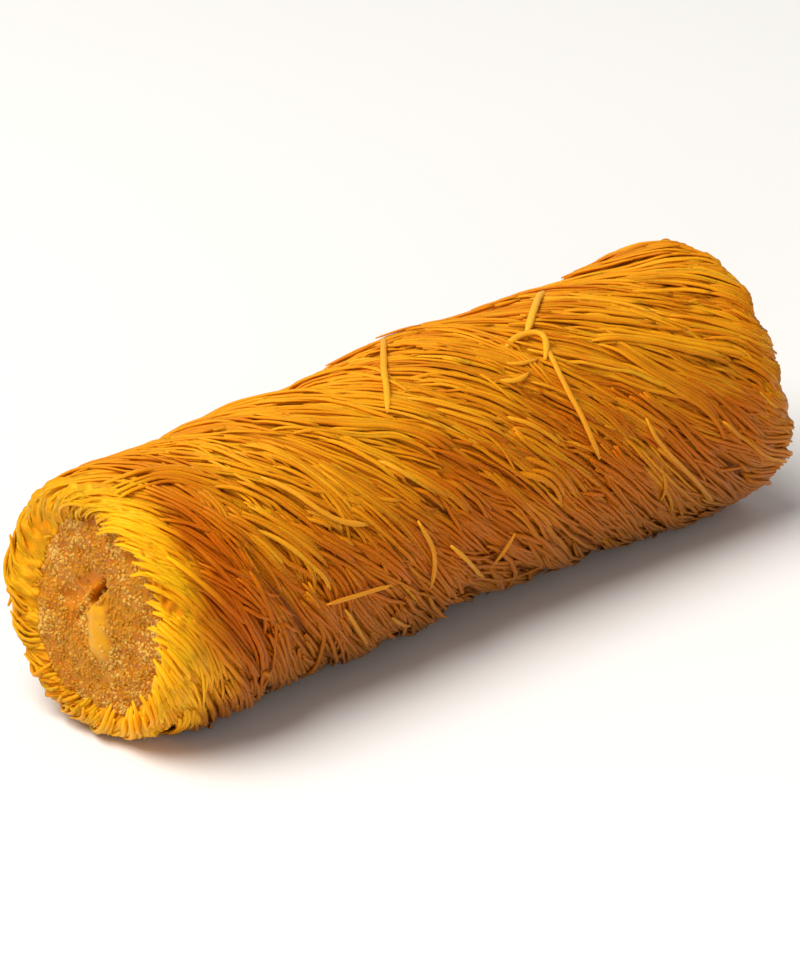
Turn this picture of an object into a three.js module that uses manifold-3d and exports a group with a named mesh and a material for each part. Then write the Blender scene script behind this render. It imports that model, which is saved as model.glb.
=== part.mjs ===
// A kunafa roll: fine shredded pastry wound aslant round a core of pounded nuts and syrup.
// Lengths are millimetres. The roll lies along X and +Z is up. The origin is under the middle of
// the roll, on the surface that it lies on. An angle "round" the roll is in degrees from +Y over +Z,
// so 90 is its top, 180 its front and 270 its underside.
import * as THREE from 'three';
import { mergeVertices } from 'three/addons/utils/BufferGeometryUtils.js';
import Module from 'manifold-3d';

const wasm = await Module();
wasm.setup();

// Driving dimensions
const rollLength = 89.4;          // from the near rim to the far rim
const axisHeight = 13.9;          // middle of the roll over the table, so its underside is pressed flat
const fillingRadius = 10.5;       // core of nuts
const fillingGap = 0.3;           // clearance between the core and the pastry round it
const rimDepth = 2.0;             // length over which the pastry rounds off at each end
const rimWidth = 2.6;             // and how far it turns in there
const strandCount = 50;           // strands side by side round the roll
const furrowDepth = 0.45;         // between two strands of one lock
const lockDepth = 0.55;           // further down between two locks
const lockLift = 0.3;             // how far a lock lies above or below its neighbours
const looseStrandWidth = 0.95;    // a strand that lies free on the others
const strewnCount = 10;           // such strands strewn over the back
const grainCount = 32;            // pieces of nut that show in each face of the core
const grainSize = [1.0, 2.0];     // least and greatest width of such a piece
const seed = 41;

// Outer radius of the strand crowns at places along the roll, at its necks and swellings:
// first along its upper back, then along its lower front. In between it passes evenly from one to the other.
const upperBack = { round: 56, girth: [
  [-44, 14.3], [-37, 14.9], [-31, 14.3], [-23, 15.0], [-10, 14.7], [4, 15.9], [16, 15.0],
  [20, 15.1], [30, 14.8], [40, 15.5], [44, 15.1],
] };
const lowerFront = { round: 236, girth: [
  [-44, 14.5], [-36, 15.3], [-28, 14.7], [-14, 15.3], [-8, 15.0], [-4, 15.1], [2, 14.1],
  [12, 14.7], [20, 15.0], [38, 15.8], [44, 15.6],
] };

// Slope of the strands against the roll's axis, in degrees, at places along it.
const strandSlope = [[-44, 72], [-36, 62], [-27, 56], [-12, 47], [20, 45], [32, 42], [44, 38]];

// Where an end stands out or falls short round its rim: middle and half width in degrees, and length.
const nearLobes = [
  { round: 330, spread: 50, reach: 0.3 },
  { round: 30, spread: 45, reach: -0.6 },
  { round: 130, spread: 60, reach: 0.3 },
];
const farLobes = [
  { round: 210, spread: 45, reach: 1.0 },
  { round: 145, spread: 50, reach: -1.5 },
  { round: 320, spread: 60, reach: -0.6 },
];

// Strands that lie free on the others, each from place to place as [along, round, height over the crowns].
const looseStrands = [
  [[-7.9, 114, 0.1], [-3, 90, 0.3], [3.0, 66, -0.1]],
  [[22.4, 78, 0.2], [19.4, 90, 0.5], [15.7, 102, 0.2]],
  [[15.0, 106, 0.4], [12.9, 120, -0.2]],
  [[13.6, 132, 0.1], [14.0, 149, 0.7], [14.5, 166, 0.6]],
  [[22.3, 158, 0.1], [23.1, 170, 0.4], [33.5, 212, 0]],
  [[-42, 136, 0.1], [-39.5, 154, 0.4], [-36.3, 172, 0.2]],
  [[-25, 126, 0], [-21, 141, 0.3], [-17.5, 155, 0.1]],
  [[-21.9, 147, 0.1], [-19.8, 153, 0.4], [-17.3, 155, 0.3]],
  [[-11.3, 161, 0.5], [-9.4, 178, 0.4], [-9.3, 195, 0]],
  [[-7.1, 177, 0.2], [0, 207, 0]],
  [[-24.4, 180, 0.2], [-20, 182, 0.6], [-15.6, 184, 0.5]],
  [[-22, 186, 0.2], [-16.4, 216, 0]],
  [[-15.2, 199, 0.3], [-10, 217, 0]],
  [[0.4, 200, 0.1], [2.3, 184, 0.4]],
];

const half = rollLength / 2;
const inRadians = THREE.MathUtils.degToRad;

function makeRandom(start) {                      // the same draws on every run
  let state = start;
  return () => {
    state = (state * 1664525 + 1013904223) % 4294967296;
    return state / 4294967296;
  };
}

function between(stations, at) {                  // even passage from one station to the next
  const last = stations.length - 1;
  if (at <= stations[0][0]) return stations[0][1];
  if (at >= stations[last][0]) return stations[last][1];
  const next = stations.findIndex(([place]) => place > at);
  const [from, low] = stations[next - 1];
  const [to, high] = stations[next];
  return low + (high - low) * THREE.MathUtils.smoothstep(at, from, to);
}

function girthAt(along, round) {
  const share = (1 + Math.cos(inRadians(round - upperBack.round))) / 2;
  return share * between(upperBack.girth, along) + (1 - share) * between(lowerFront.girth, along);
}

function reachAt(lobes, round) {                  // sum of the lobes of one end at this angle
  let reach = 0;
  for (const lobe of lobes) {
    const away = Math.abs(THREE.MathUtils.euclideanModulo(round - lobe.round + 180, 360) - 180);
    reach += lobe.reach * (1 - THREE.MathUtils.smoothstep(away, 0, lobe.spread));
  }
  return reach;
}

function placeOn(along, round, radius) {
  const angle = inRadians(round);
  return new THREE.Vector3(along, radius * Math.cos(angle), axisHeight + radius * Math.sin(angle));
}

function gridSolid(rings) {                       // rings of equal count, closed by a point at either end
  const around = rings[0].length;
  const points = rings.flat();
  const middleOf = (ring) => ring.reduce((sum, p) => sum.add(p), new THREE.Vector3()).divideScalar(around);
  const startPoint = points.push(middleOf(rings[0])) - 1;
  const endPoint = points.push(middleOf(rings[rings.length - 1])) - 1;
  const index = [];
  for (let column = 0; column < around; column++) {
    const next = (column + 1) % around;
    index.push(startPoint, next, column);
    for (let row = 0; row < rings.length - 1; row++) {
      const here = row * around;
      const after = here + around;
      index.push(here + column, here + next, after + next);
      index.push(here + column, after + next, after + column);
    }
    const lastRow = (rings.length - 1) * around;
    index.push(endPoint, lastRow + column, lastRow + next);
  }
  const geometry = new THREE.BufferGeometry().setFromPoints(points);
  geometry.setIndex(index);
  return geometry;
}

function toSolid(geometry) {                      // closed mesh to a solid that can be cut and joined
  const bare = geometry.clone();
  bare.deleteAttribute('normal');
  bare.deleteAttribute('uv');
  const merged = mergeVertices(bare, 1e-4);
  return new wasm.Manifold(new wasm.Mesh({
    numProp: 3,
    vertProperties: Float32Array.from(merged.attributes.position.array),
    triVerts: Uint32Array.from(merged.index.array),
  }));
}

function toGeometry(solid) {                      // largest body of the solid, back as a mesh
  const bodies = solid.decompose().sort((a, b) => b.volume() - a.volume());
  const mesh = bodies[0].getMesh();
  const geometry = new THREE.BufferGeometry();
  geometry.setAttribute('position', new THREE.BufferAttribute(mesh.vertProperties, 3));
  geometry.setIndex(new THREE.BufferAttribute(mesh.triVerts, 1));
  geometry.computeVertexNormals();
  return geometry;
}

// The wound pastry: every second column of the grid is a strand's crown, the others are furrows.
// The columns follow the slope of the strands, so they wind round the roll.
function drawStrands() {
  const random = makeRandom(seed);
  const strands = [];
  while (strands.length < strandCount) {
    const lockSize = 3 + Math.floor(random() * 4);
    const lock = { phase: random() * 2 * Math.PI, waves: 0.09 + 0.07 * random() };
    for (let place = 0; place < lockSize; place++) {
      strands.push({ lock, endsLock: place === lockSize - 1, settle: random() * 0.18 });
    }
  }
  return strands.slice(0, strandCount);
}

function sinkAt(strands, column, along) {         // how far this column lies below the crowns
  const strand = strands[Math.floor(column / 2)];
  const lift = lockLift * (1 - Math.sin(strand.lock.phase + strand.lock.waves * along)) / 2;
  if (column % 2 === 0) return strand.settle + lift;
  return lift + furrowDepth + (strand.endsLock ? lockDepth : 0);
}

function meridian() {                             // rows from the near face over the side to the far face
  const arcSteps = 3;
  const twistStep = 16;                           // degrees that the strands wind from row to row
  const longestStep = 3.9;
  const faceEdge = rimWidth + 1.1;
  const turnRate = (along) => Math.tan(inRadians(between(strandSlope, along))) / 15 / inRadians(1);
  const rows = [{ along: -half + 0.5, inset: faceEdge, lobes: nearLobes, turn: 0 }];
  let turn = 6;
  for (let step = 0; step < arcSteps; step++) {
    const bend = inRadians(90 * step / arcSteps);
    rows.push({
      along: -half + rimDepth * (1 - Math.cos(bend)),
      inset: rimWidth * (1 - Math.sin(bend)), lobes: nearLobes, turn,
    });
    turn += 9;
  }
  let along = -half + rimDepth;
  while (along < half - rimDepth) {
    rows.push({ along, inset: 0, turn });
    const left = half - rimDepth - along;
    const step = Math.min(longestStep, twistStep / turnRate(along), left);
    turn += step * turnRate(along + step / 2);
    along += step;
  }
  for (let step = arcSteps; step >= 0; step--) {
    const bend = inRadians(90 * step / arcSteps);
    rows.push({
      along: half - rimDepth * (1 - Math.cos(bend)),
      inset: rimWidth * (1 - Math.sin(bend)), lobes: farLobes, turn,
    });
    turn += 5;
  }
  rows.push({ along: half - 0.5, inset: faceEdge, lobes: farLobes, turn });
  return rows;
}

function woundPastry() {
  const strands = drawStrands();
  const columns = 2 * strandCount;
  const rings = meridian().map((row) => {
    const ring = [];
    for (let column = 0; column < columns; column++) {
      const round = 360 * column / columns + row.turn;
      const reach = row.lobes ? reachAt(row.lobes, round) * Math.sign(row.along) : 0;
      const radius = girthAt(row.along, round) - row.inset - sinkAt(strands, column, row.along);
      ring.push(placeOn(row.along + reach, round, radius));
    }
    return ring;
  });
  return toSolid(gridSolid(rings));
}

// The core: lumpy round its side, with rough faces a little within the rims. The near face has a
// crease and a soft lump beside it. Places on a face are [across, up] from its middle.
const crease = { from: [0.3, 0.6], to: [-2.6, 4.2], width: 1.2, depth: 2.4 };
const lump = { from: [-1.6, 2.4], to: [-3.6, -2.6], width: 1.8, depth: -0.6 };
const faceDepth = 0.4;                            // of the core's faces within the rims

function markDepth(mark, across, up) {            // deepest on the mark's line, nothing past its width
  const line = new THREE.Line3(new THREE.Vector3(...mark.from, 0), new THREE.Vector3(...mark.to, 0));
  const place = new THREE.Vector3(across, up, 0);
  const away = line.closestPointToPoint(place, true, new THREE.Vector3()).distanceTo(place);
  return mark.depth * (1 - THREE.MathUtils.smoothstep(away, 0, mark.width));
}

function coreRadius(round) {
  return fillingRadius + 0.25 * Math.sin(3 * inRadians(round) + 1) + 0.2 * Math.sin(5 * inRadians(round));
}

function faceSink(side, across, up) {             // how far a place on a face lies within the rim
  const share = Math.hypot(across, up) / fillingRadius;
  const bumps = 0.15 * Math.sin(1.3 * across + 0.5 * up + side) + 0.15 * Math.sin(0.6 * across - 1.4 * up);
  const marks = side < 0 ? markDepth(crease, across, up) + markDepth(lump, across, up) : 0;
  return faceDepth + bumps + marks + 0.8 * share ** 6;
}

function coreSolid(clearance, faceAt) {           // with clearance it is the bore in the pastry instead
  const around = 36;
  const faceRings = 6;
  const sideAt = half - 3;
  const ringAt = (along, share, side) => {
    const ring = [];
    for (let column = 0; column < around; column++) {
      const round = 360 * column / around;
      const radius = coreRadius(round) * share + clearance;
      const angle = inRadians(round);
      const sink = side ? faceSink(side, radius * Math.cos(angle), radius * Math.sin(angle)) : 0;
      ring.push(placeOn(along - side * sink, round, radius));
    }
    return ring;
  };
  const rings = [];
  for (let ring = 1; ring <= faceRings; ring++) rings.push(ringAt(-faceAt, (ring - 0.5) / faceRings, -1));
  for (const along of [-sideAt, sideAt]) rings.push(ringAt(along, 1, 0));
  for (let ring = faceRings; ring > 0; ring--) rings.push(ringAt(faceAt, (ring - 0.5) / faceRings, 1));
  return toSolid(gridSolid(rings));
}

function nutPieces(side) {                        // half sunk in a face, evenly spread with a jitter
  const random = makeRandom(seed + 5 + side);
  const goldenAngle = 137.5;
  const spread = fillingRadius - 1.3;
  const pieces = [];
  for (let place = 0; place < grainCount; place++) {
    const radius = spread * Math.sqrt((place + 0.5) / grainCount) - 0.4 * random();
    const angle = inRadians(goldenAngle * place + 20 * random());
    const across = radius * Math.cos(angle);
    const up = radius * Math.sin(angle);
    const width = THREE.MathUtils.lerp(...grainSize, random() ** 2);
    const piece = new THREE.OctahedronGeometry(width / 2);
    piece.scale(0.8 + 0.3 * random(), 0.8 + 0.5 * random(), 0.8 + 0.3 * random());
    piece.rotateX(3 * random());
    piece.rotateZ(3 * random());
    piece.translate(side * (half - faceSink(side, across, up)), across, axisHeight + up);
    pieces.push(toSolid(piece));
  }
  return pieces;
}

// Loose strands: thin bars with a few sides, partly sunk in the pastry.
function looseStrand(places) {
  const sides = 4;
  const steps = 5;
  const points = places.map(([along, round, height]) => (
    placeOn(along, round, girthAt(along, round) + height)
  ));
  const path = new THREE.CatmullRomCurve3(points);
  const section = new THREE.Shape();
  for (let side = 0; side < sides; side++) {
    const angle = 2 * Math.PI * side / sides;
    const x = Math.cos(angle) * looseStrandWidth / 2;
    const y = Math.sin(angle) * looseStrandWidth / 2;
    if (side === 0) section.moveTo(x, y);
    else section.lineTo(x, y);
  }
  section.closePath();
  return toSolid(new THREE.ExtrudeGeometry(section, { steps, extrudePath: path, bevelEnabled: false }));
}

function strewnStrands() {                        // over the back, across or along the flow
  const random = makeRandom(seed + 2);
  const strewn = [];
  for (let place = 0; place < strewnCount; place++) {
    const along = -38 + 76 * (place + 0.2 + 0.6 * random()) / strewnCount;
    const round = random() * 80 - 60;
    const slope = inRadians(20 + 120 * random());
    const length = 6 + 5 * random();
    const ahead = length * Math.cos(slope) / 2;
    const turn = length * Math.sin(slope) / 2 / 15 / inRadians(1);
    strewn.push([
      [along - ahead, round - turn, 0], [along, round + 3, 0.4], [along + ahead, round + turn, 0.1],
    ]);
  }
  return strewn;
}

function underTable() {                           // what lies below the table's surface
  const depth = 10;
  const block = new THREE.BoxGeometry(rollLength + 20, 60, depth);
  block.translate(0, 0, -depth / 2);
  return toSolid(block);
}

function makeWrap() {
  let solid = woundPastry();
  for (const places of [...looseStrands, ...strewnStrands()]) solid = solid.add(looseStrand(places));
  solid = solid.subtract(coreSolid(fillingGap, half + 4)).subtract(underTable());
  const material = new THREE.MeshStandardMaterial({ color: 0xdb8f1c, roughness: 0.45, metalness: 0 });
  const mesh = new THREE.Mesh(toGeometry(solid), material);
  mesh.name = 'pastry_wrap';
  return mesh;
}

function makeFilling() {
  let solid = coreSolid(0, half);
  for (const piece of [...nutPieces(-1), ...nutPieces(1)]) solid = solid.add(piece);
  const material = new THREE.MeshStandardMaterial({ color: 0xd6a052, roughness: 0.7, metalness: 0 });
  const mesh = new THREE.Mesh(toGeometry(solid), material);
  mesh.name = 'filling';
  return mesh;
}

const roll = new THREE.Group();
roll.add(makeWrap(), makeFilling());

export default roll;
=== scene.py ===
import math

import bpy
import numpy as np
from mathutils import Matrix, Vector


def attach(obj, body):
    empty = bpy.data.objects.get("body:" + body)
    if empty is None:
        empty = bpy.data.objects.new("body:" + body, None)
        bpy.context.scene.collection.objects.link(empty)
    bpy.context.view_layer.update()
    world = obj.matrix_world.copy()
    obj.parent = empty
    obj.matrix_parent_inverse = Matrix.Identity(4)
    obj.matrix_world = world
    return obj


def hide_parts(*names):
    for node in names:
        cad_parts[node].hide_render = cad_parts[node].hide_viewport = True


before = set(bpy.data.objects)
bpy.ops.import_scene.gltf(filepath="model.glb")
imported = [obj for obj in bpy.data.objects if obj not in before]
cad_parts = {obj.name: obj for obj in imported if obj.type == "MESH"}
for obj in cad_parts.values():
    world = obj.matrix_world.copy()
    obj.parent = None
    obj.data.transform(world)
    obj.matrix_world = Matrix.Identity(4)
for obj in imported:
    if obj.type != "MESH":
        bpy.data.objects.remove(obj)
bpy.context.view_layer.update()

mm = 0.001  # sizes below are in millimetres, the scene is in metres

# form of the roll over its strands' crowns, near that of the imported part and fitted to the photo's outline
rollForm = {
    "length": 89.4,
    "axisHeight": 13.9,  # middle of the roll over the table
    "middleRadius": 15.0,
    "rimDepth": 2.0,  # over which the pastry rounds off at an end
    "rimWidth": 2.6,
    "faceWidth": 1.4,  # flat part of the ring of pastry round the filling
    # two lines along the roll: degrees round, then mm along and radius
    "upperBack": (56, [(-44, 14.2), (-37, 14.9), (-31, 14.4), (-23, 14.8), (-10, 14.5), (-5, 14.9), (4, 15.9),
                       (16, 14.8), (20, 14.85), (30, 14.55), (34, 14.65), (40, 15.7), (44, 15.15)]),
    "lowerFront": (236, [(-44, 13.5), (-41, 14.3), (-38, 14.8), (-35, 15.8), (-32, 15.4), (-28, 14.7),
                         (-20, 14.6), (-14, 15.15), (-8, 14.5), (-5, 14.95), (0, 13.8), (5, 14.3),
                         (12, 14.6), (20, 15.0), (38, 15.9), (44, 15.6)]),
    # how far the near ring lies further out or in, by degrees round, and the way at which that starts to fade
    "nearRing": [(0, 0.1), (20, 0), (225, 0.1), (245, 0), (262, 0.1), (280, 0.1), (300, 0.4), (314, -0.4),
                 (330, -0.3), (347, -0.6), (358, 0.1), (360, 0.1)],
    "nearRingFade": (3, 7),
    # how far an end stands out or falls short: middle and half width in degrees, length
    "nearLobes": [(330, 50, 0.3), (30, 45, -0.6), (130, 60, 0.3)],
    "farLobes": [(210, 45, 1.0), (145, 50, -1.5), (320, 60, -0.6), (92, 12, -0.5), (124, 14, 0.6),
                 (156, 12, 0.4), (178, 16, -0.55), (208, 24, 0.5)],
    "lobeFade": 4,  # mm behind the end
    # slope of the strands against the roll's axis, by the way gone over the surface from the near face
    "slope": [(0, 48), (4, 53), (9, 61), (15, 60), (24, 55), (38, 47), (70, 45), (82, 41), (92, 36), (97, 20)],
    # from the axis to the ring's inner edge, by degrees round, where the nuts come into view
    "nearOpening": [(0, 8.3), (35, 8.8), (73, 10.0), (100, 11.6), (125, 12.4), (158, 11.9), (180, 11.3),
                    (214, 10.8), (250, 10.4), (285, 10.5), (321, 9.6), (342, 8.7), (360, 8.3)],
    "farOpening": [(0, 10.3), (90, 10.9), (200, 10.2), (360, 10.3)],
    "openingWaves": [(0.22, 5, 40), (0.16, 11, 0)],  # depth, number round, start in degrees
    "backSide": 350,  # degrees round, the side of the near ring that the photo shows at the left
}
axisHeight, middleRadius = rollForm["axisHeight"], rollForm["middleRadius"]
rimDepth, rimWidth, faceWidth = rollForm["rimDepth"], rollForm["rimWidth"], rollForm["faceWidth"]
half = rollForm["length"] / 2
rimLength = math.pi / 2 * math.sqrt((rimDepth ** 2 + rimWidth ** 2) / 2)
endLength = faceWidth + rimLength
wayLength = 2 * endLength + (rollForm["length"] - 2 * rimDepth)  # from the near ring's inner edge to the far one's


def smooth(share):
    share = np.clip(share, 0, 1)
    return share * share * (3 - 2 * share)


def between(stations, at):  # even passage from one station to the next
    places, values = np.array(stations, float).T
    at = np.clip(np.asarray(at, float), places[0], places[-1])
    after = np.clip(np.searchsorted(places, at, side="right"), 1, len(places) - 1)
    share = (at - places[after - 1]) / (places[after] - places[after - 1])
    return values[after - 1] + (values[after] - values[after - 1]) * smooth(share)


def girthAt(along, turn):  # radius over the strands' crowns
    share = (1 + np.cos(np.radians(turn - rollForm["upperBack"][0]))) / 2
    upper = between(rollForm["upperBack"][1], along)
    return share * upper + (1 - share) * between(rollForm["lowerFront"][1], along)


def reachAt(lobes, turn):
    reach = 0
    for middle, spread, length in lobes:
        away = np.abs((turn - middle + 180) % 360 - 180)
        reach = reach + length * (1 - smooth(away / spread))
    return reach


def surfaceAt(way, turn, height):
    # Point and outward direction, in mm, at a way along the roll and a turn round it in degrees.
    way, turn = np.broadcast_arrays(np.asarray(way, float), np.asarray(turn, float))
    isFar = way > wayLength / 2
    fromEnd = np.where(isFar, wayLength - way, way)
    bend = np.clip((fromEnd - faceWidth) / rimLength, 0, 1) * math.pi / 2
    along = -half + rimDepth * (1 - np.cos(bend)) + np.maximum(fromEnd - endLength, 0)
    inset = rimWidth * (1 - np.sin(bend)) + np.maximum(faceWidth - fromEnd, 0)
    mirror = np.where(isFar, -1.0, 1.0)
    along = along * mirror
    reach = np.where(isFar, reachAt(rollForm["farLobes"], turn), -reachAt(rollForm["nearLobes"], turn))
    fades = 1 - smooth((fromEnd - endLength) / rollForm["lobeFade"])
    sine, cosine = np.sin(np.radians(turn)), np.cos(np.radians(turn))
    out = np.stack([-np.cos(bend) * mirror, np.sin(bend) * cosine, np.sin(bend) * sine], -1)
    radius = girthAt(along, turn) - inset
    middle = np.stack([along + reach * fades, radius * cosine, axisHeight + radius * sine], -1)
    return middle + out * np.asarray(height, float)[..., None], out


def openingReach(turn, isFar):
    turn = np.asarray(turn, float) % 360
    uneven = sum(depth * np.sin(np.radians(times * turn + start)) for depth, times, start in rollForm["openingWaves"])
    return between(rollForm["farOpening" if isFar else "nearOpening"], turn) + uneven


def ringStart(turn, isFar):  # way at which the pastry starts, which is negative where it hangs over the nuts
    return openingReach(turn, isFar) - girthAt(half if isFar else -half, turn) + (rimWidth + faceWidth)


def onBackSide(turn):  # 1 on that side of the near ring, down to 0
    return float(smooth((math.cos(math.radians(turn - rollForm["backSide"])) + 0.3) / 1.3))


def nearShift(way, turn):  # how far the near ring lies out of the plain round
    start, length = rollForm["nearRingFade"]
    return between(rollForm["nearRing"], np.asarray(turn) % 360) * (1 - smooth((np.asarray(way) - start) / length))


def wayAlong(along):
    return along + half - rimDepth + endLength


def wayTurn(way):  # how far a strand that starts at the near ring has turned by this way
    steps = np.linspace(0, wayLength, 600)
    rate = np.degrees(np.tan(np.radians(between(rollForm["slope"], steps))) / middleRadius)
    total = np.concatenate([[0], np.cumsum((rate[1:] + rate[:-1]) / 2 * np.diff(steps))])
    return np.interp(way, steps, total)


def waves(draw, way, turn, kind):  # soft unevenness that closes round the roll
    height, number, least, longest = kind
    total = 0
    for _ in range(number):
        size, heading, start = draw.uniform(least, longest), draw.uniform(0, 2 * math.pi), draw.uniform(0, 7)
        times = round(2 * math.pi * middleRadius / size * math.cos(heading))
        total = total + np.sin(way * 2 * math.pi / size * math.sin(heading) + np.radians(turn) * times + start)
    return height * (total / math.sqrt(number))


# node trees and meshes
class Wire:
    # A socket that takes part in sums: a * b, 1 - a and so on each add a Math node.

    def __init__(self, graph, socket):
        self.graph, self.socket = graph, socket

    def __add__(self, other): return self.graph.math("ADD", self, other)
    def __radd__(self, other): return self.graph.math("ADD", other, self)
    def __sub__(self, other): return self.graph.math("SUBTRACT", self, other)
    def __rsub__(self, other): return self.graph.math("SUBTRACT", other, self)
    def __mul__(self, other): return self.graph.math("MULTIPLY", self, other)
    def __rmul__(self, other): return self.graph.math("MULTIPLY", other, self)
    def __truediv__(self, other): return self.graph.math("DIVIDE", self, other)
    def __pow__(self, other): return self.graph.math("POWER", self, other)


class Graph:
    # A shader or geometry tree that is written as plain expressions.

    def __init__(self, tree):
        self.tree = tree

    def add(self, kind, settings=None, inputs=None, output=0):
        node = self.tree.nodes.new(kind)
        for name, value in (settings or {}).items():
            setattr(node, name, value)
        for key, value in (inputs or {}).items():
            socket = self.find(node.inputs, key)
            if isinstance(value, Wire):
                self.tree.links.new(value.socket, socket)
            else:
                socket.default_value = value
        return Wire(self, self.find(node.outputs, output))

    @staticmethod
    def find(sockets, key):
        if isinstance(key, int):
            return [s for s in sockets if s.enabled][key]
        return next(s for s in sockets if s.enabled and s.name == key)

    def math(self, operation, *values):
        return self.add("ShaderNodeMath", {"operation": operation}, dict(enumerate(values)))

    def vector(self, operation, *values):
        return self.add("ShaderNodeVectorMath", {"operation": operation}, dict(enumerate(values)))

    def parts(self, vector):
        node = self.tree.nodes.new("ShaderNodeSeparateXYZ")
        self.tree.links.new(vector.socket, node.inputs[0])
        return [Wire(self, s) for s in node.outputs]

    def pack(self, x, y, z):
        return self.add("ShaderNodeCombineXYZ", {}, {0: x, 1: y, 2: z})

    def rescale(self, value, low, high, newLow=0.0, newHigh=1.0):
        return self.add("ShaderNodeMapRange", {}, {0: value, 1: low, 2: high, 3: newLow, 4: newHigh})

    def noise(self, where, scale, detail):
        return self.add("ShaderNodeTexNoise", {}, {"Vector": where, "Scale": scale, "Detail": detail})


class Paint(Graph):
    # A material with a Principled shader. Values that are the same all over go on its own sockets.

    def __init__(self, name, values):
        self.material = bpy.data.materials.new(name)
        self.material.use_nodes = True
        super().__init__(self.material.node_tree)
        self.shader = self.tree.nodes["Principled BSDF"]
        for label, value in values.items():
            self.shader.inputs[label].default_value = value
        self.place = self.add("ShaderNodeTexCoord", {}, {}, "Object")

    def attribute(self, name):
        return self.add("ShaderNodeAttribute", {"attribute_name": name}, {}, "Fac")

    def patches(self, scale, detail):
        return self.noise(self.place, scale, detail)

    def blend(self, share, *colours):
        first, second = [c if isinstance(c, Wire) else (*c, 1) for c in colours]
        return self.add("ShaderNodeMix", {"data_type": "RGBA"}, {0: share, 1: first, 2: second})

    def finish(self, colour, height=None, strength=0.0, depth=0.0):
        self.tree.links.new(colour.socket, self.shader.inputs["Base Color"])
        if height:
            bump = self.add("ShaderNodeBump", {}, {"Strength": strength, "Distance": depth, "Height": height})
            self.tree.links.new(bump.socket, self.shader.inputs["Normal"])
        return self.material


class GeometryTree(Graph):
    # A Geometry Nodes tree with named inputs, run as a modifier and turned into a plain mesh.

    socketKinds = {int: "NodeSocketInt", float: "NodeSocketFloat", bpy.types.Material: "NodeSocketMaterial"}

    def __init__(self, name, values):
        super().__init__(bpy.data.node_groups.new(name, "GeometryNodeTree"))
        face = self.tree.interface
        face.new_socket("Geometry", in_out="INPUT", socket_type="NodeSocketGeometry")
        face.new_socket("Geometry", in_out="OUTPUT", socket_type="NodeSocketGeometry")
        self.values, self.sockets = values, {}
        for label, value in values.items():
            kind = self.socketKinds[type(value)]
            self.sockets[label] = face.new_socket(label, in_out="INPUT", socket_type=kind)
        self.group = self.tree.nodes.new("NodeGroupInput")
        self.tree.is_modifier = True

    def given(self, label):
        return Wire(self, self.group.outputs[label])

    def store(self, geometry, name, value, domain="POINT"):
        return self.add("GeometryNodeStoreNamedAttribute", {"data_type": "FLOAT", "domain": domain},
                        {"Geometry": geometry, "Name": name, "Value": value})

    def read(self, name, kind="FLOAT"):
        return self.add("GeometryNodeInputNamedAttribute", {"data_type": kind}, {"Name": name})

    def random(self, low, high, seedShift):
        return self.add("FunctionNodeRandomValue", {"data_type": "FLOAT"}, {
            "Min": low, "Max": high, "ID": self.add("GeometryNodeInputIndex"), "Seed": self.given("Seed") + seedShift})

    def finish(self, geometry, material):
        realized = self.add("GeometryNodeRealizeInstances", {}, {"Geometry": geometry})
        shaded = self.add("GeometryNodeSetShadeSmooth", {}, {"Geometry": realized})
        dressed = self.add("GeometryNodeSetMaterial", {}, {"Geometry": shaded, "Material": material})
        out = self.tree.nodes.new("NodeGroupOutput")
        self.tree.links.new(dressed.socket, out.inputs[0])

    def run(self, piece, changes):  # the tree's result on this piece, as a plain mesh in its place
        modifier = piece.modifiers.new(self.tree.name, "NODES")
        modifier.node_group = self.tree
        for label, value in {**self.values, **changes}.items():
            modifier[self.sockets[label].identifier] = value
        bpy.context.view_layer.update()
        evaluated = piece.evaluated_get(bpy.context.evaluated_depsgraph_get())
        mesh = bpy.data.meshes.new_from_object(evaluated)
        piece.modifiers.remove(modifier)
        old = piece.data
        piece.data = mesh
        bpy.data.meshes.remove(old)
        mesh.name = piece.name


def makePiece(name, points, faces=(), edges=(), material=None):
    # A mesh object at the origin from points in mm.
    mesh = bpy.data.meshes.new(name)
    mesh.from_pydata((np.asarray(points) * mm).tolist(), list(edges), list(faces))
    mesh.update()
    piece = bpy.data.objects.new(name, mesh)
    bpy.context.scene.collection.objects.link(piece)
    if material:
        mesh.materials.append(material)
    return piece


def setPointValues(piece, name, values):
    values = np.asarray(values)
    isVector, isWhole = values.ndim > 1, values.dtype.kind == "i"
    layer = piece.data.attributes.new(name, "FLOAT_VECTOR" if isVector else "INT" if isWhole else "FLOAT", "POINT")
    layer.data.foreach_set("vector" if isVector else "value", values.ravel())


def readAll(items, name, kind=np.int64):
    values = np.zeros(len(items), kind)
    items.foreach_get(name, values)
    return values


def gridFaces(rows, columns, isLooped=False):  # between rows of points that close round, facing outwards
    row, column = np.meshgrid(np.arange(rows if isLooped else rows - 1), np.arange(columns), indexing="ij")
    here, there, after = row * columns, (row + 1) % rows * columns, (column + 1) % columns
    return np.stack([there + column, there + after, here + after, here + column], -1).reshape(-1, 4).tolist()


def tell(piece, note=""):
    print(piece.name + ":" + note, sum(len(f.vertices) - 2 for f in piece.data.polygons), "triangles")


# materials
pastryGloss = {"Specular Tint": (1.0, 0.7, 0.25, 1), "Subsurface Weight": 0.4,
               "Subsurface Radius": (1.0, 0.65, 0.3), "Subsurface Scale": 0.0005}
nutGloss = {"Specular IOR Level": 0.4, "Specular Tint": (1.0, 0.75, 0.35, 1), "Subsurface Weight": 0.4,
            "Subsurface Radius": (1.0, 0.6, 0.25)}

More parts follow.
